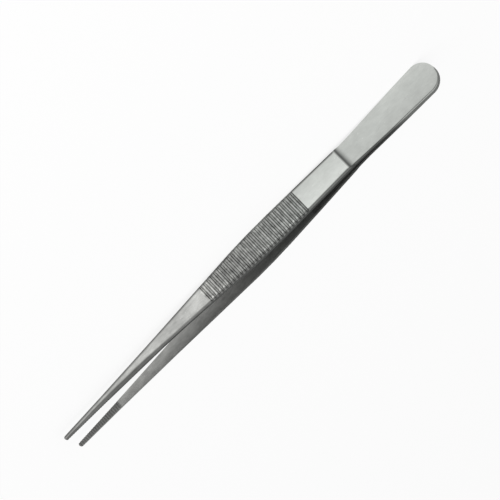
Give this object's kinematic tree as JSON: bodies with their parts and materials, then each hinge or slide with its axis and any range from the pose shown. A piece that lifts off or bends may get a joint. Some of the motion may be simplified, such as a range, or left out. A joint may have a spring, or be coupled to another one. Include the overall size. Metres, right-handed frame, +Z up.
{
  "type": "thumb forceps",
  "caption": "Plain thumb forceps: two sprung steel arms welded at the butt, with raised thumb plates, ribbed grips and narrow toothed jaws.",
  "frame": {"origin": "on the table, under the middle of the bounding box, as the forceps lie on their side", "axes": "+X along the forceps from the welded butt end towards the tips; +Y from the front arm to the back arm; +Z up, across the width of the arms"},
  "size_m": [0.145, 0.0134, 0.0096],
  "materials": {
    "satin_steel": "satin ground stainless steel, with brighter flats on the thumb plate and darker ground flanks"
  },
  "bodies": {
    "root": {"front_arm": "satin_steel", "back_arm": "satin_steel"}
  },
  "joints": []
}
